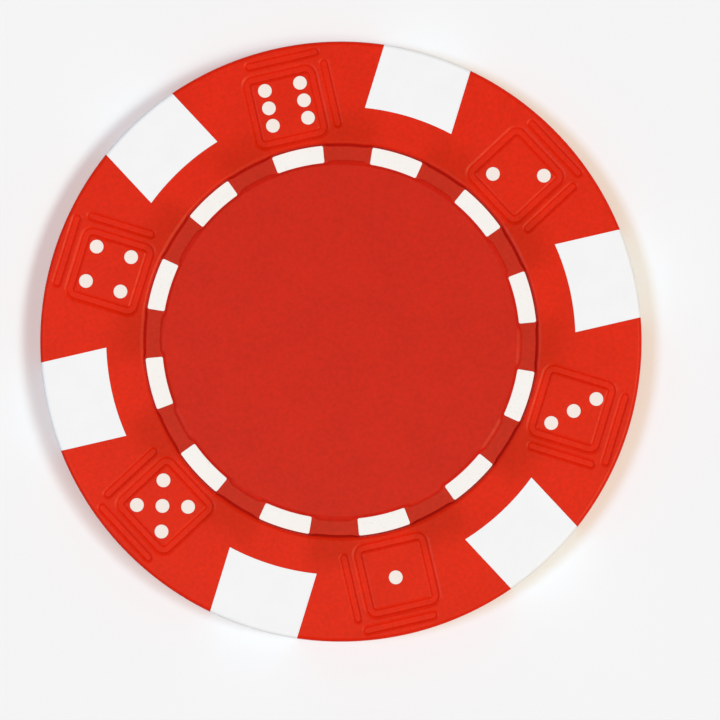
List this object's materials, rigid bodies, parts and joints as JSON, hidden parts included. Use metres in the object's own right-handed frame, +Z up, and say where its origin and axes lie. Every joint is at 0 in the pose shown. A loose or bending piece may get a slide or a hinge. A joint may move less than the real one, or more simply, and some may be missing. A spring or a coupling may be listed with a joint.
{
  "type": "poker chip",
  "caption": "Round red gaming chip with white edge spots, a dashed ring around a bare centre field, and engraved dice with white pips on the rim.",
  "frame": {"origin": "middle of the back face, on the plane that the chip rests on", "axes": "+Z up through the chip to its front face; +X through the middle of edge_spot_1"},
  "size_m": [0.039, 0.039, 0.0033],
  "materials": {
    "red_plastic": "satin moulded",
    "white_plastic": "satin moulded",
    "steel": "as stamped"
  },
  "bodies": {
    "root": {"front_half": "red_plastic", "back_half": "red_plastic", "steel_slug": "steel", "front_dash_ring": "white_plastic", "back_dash_ring": "white_plastic", "edge_spot_1": "white_plastic", "edge_spot_2": "white_plastic", "edge_spot_3": "white_plastic", "edge_spot_4": "white_plastic", "edge_spot_5": "white_plastic", "edge_spot_6": "white_plastic", "front_pips_one": "white_plastic", "front_pips_two": "white_plastic", "front_pips_three": "white_plastic", "front_pips_four": "white_plastic", "front_pips_five": "white_plastic", "front_pips_six": "white_plastic", "back_pips_one": "white_plastic", "back_pips_two": "white_plastic", "back_pips_three": "white_plastic", "back_pips_four": "white_plastic", "back_pips_five": "white_plastic", "back_pips_six": "white_plastic"}
  },
  "joints": []
}
